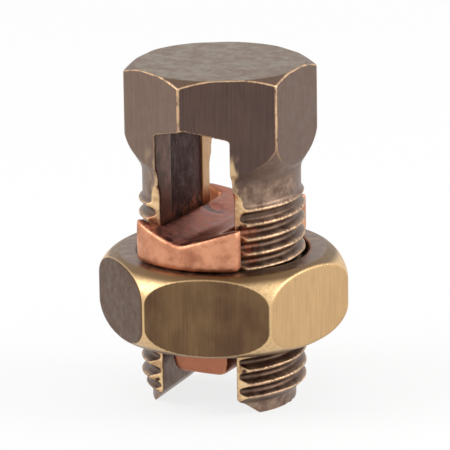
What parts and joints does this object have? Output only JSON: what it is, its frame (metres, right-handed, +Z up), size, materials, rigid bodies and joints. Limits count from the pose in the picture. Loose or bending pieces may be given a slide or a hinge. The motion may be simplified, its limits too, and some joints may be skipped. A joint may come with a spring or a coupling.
{
  "type": "split bolt connector",
  "caption": "Hex-head split bolt with a slotted threaded shank, a trough-topped copper pressure bar in the slot and a hex nut that drives it to clamp electrical conductors.",
  "frame": {"origin": "on the bolt's axis, in the plane of the leg ends that it stands on", "axes": "+Z up along the bolt's axis to the head; Y along the conductor slot; the legs lie at -X and +X"},
  "size_m": [0.0234, 0.0232, 0.0327],
  "materials": {
    "bronze_bolt": "forged and tarnished bronze, worn bright along the edges",
    "bronze_nut": "brushed bronze, lightly tarnished",
    "copper_bar": "bare copper, cast and tumbled"
  },
  "bodies": {
    "bolt": {"split_bolt": "bronze_bolt"},
    "bar": {"pressure_bar": "copper_bar"},
    "nut": {"hex_nut": "bronze_nut"}
  },
  "joints": [
    {"name": "bar_slide", "type": "slide", "parent": "bolt", "child": "bar", "axis": [0, 0, 1], "range_m": [-0.00636, 0.00283]},
    {"name": "nut_spin", "type": "hinge", "parent": "bar", "child": "nut", "pos_m": [0, 0, 0.0106], "axis": [0, 0, 1], "range_deg": [-1620, 720]}
  ],
  "couplings": [
    {"joint": "bar_slide", "follows": "nut_spin", "m_per_rad": 0.00022457}
  ]
}
